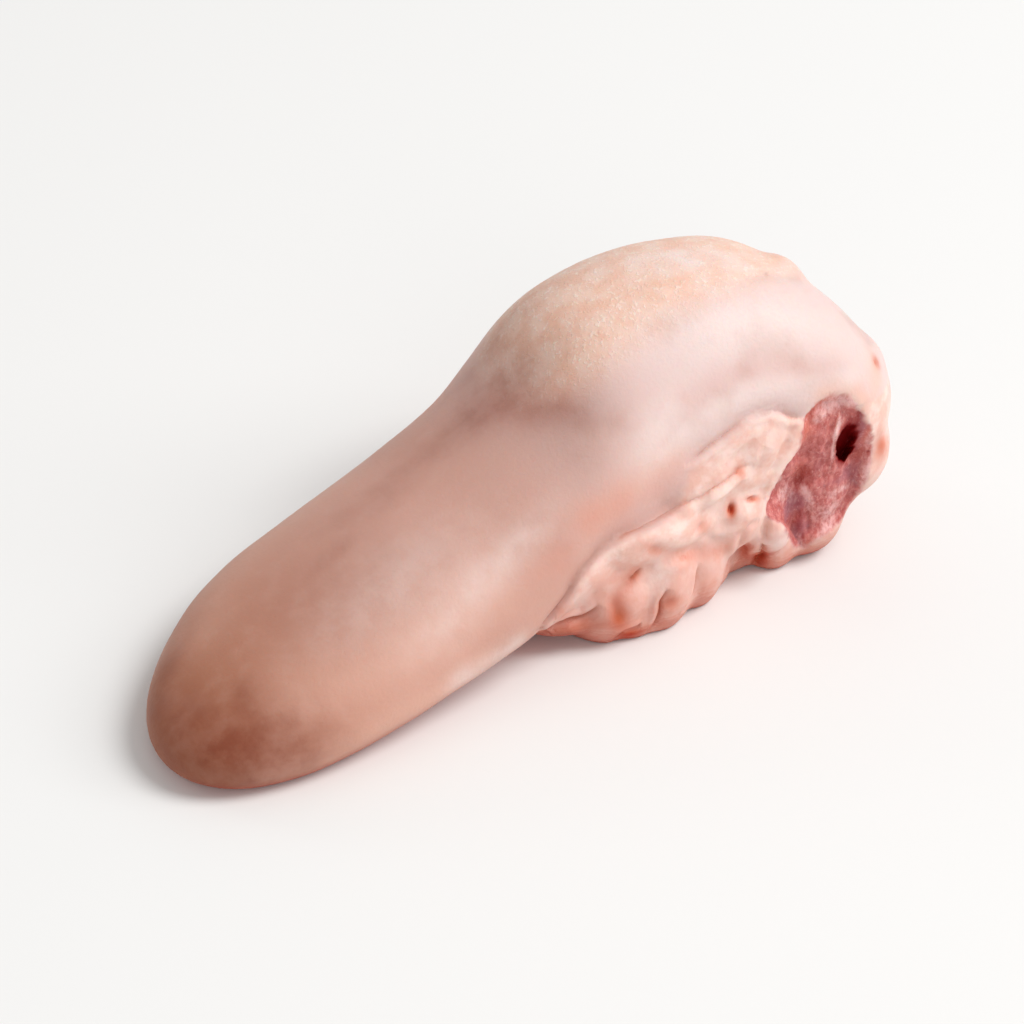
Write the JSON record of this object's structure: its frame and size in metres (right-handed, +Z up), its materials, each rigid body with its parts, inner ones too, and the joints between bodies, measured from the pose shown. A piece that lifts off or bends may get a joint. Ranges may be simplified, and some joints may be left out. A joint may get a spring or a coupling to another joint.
{
  "type": "raw pork tongue",
  "caption": "Whole raw pork tongue lying on its underside: thin rounded tip, high hump, glands and fat along the side, cut flesh with an open vessel at the root.",
  "frame": {"origin": "centre of the bounding box's bottom, on the surface that the tongue lies on", "axes": "+X from the tip to the root, -Y towards the side with the cut flesh, +Z up"},
  "size_m": [0.1795, 0.0689, 0.0708],
  "materials": {
    "tongue": "moist raw skin, fat and flesh, soft satin"
  },
  "bodies": {
    "root": {"tongue": "tongue"}
  },
  "joints": []
}
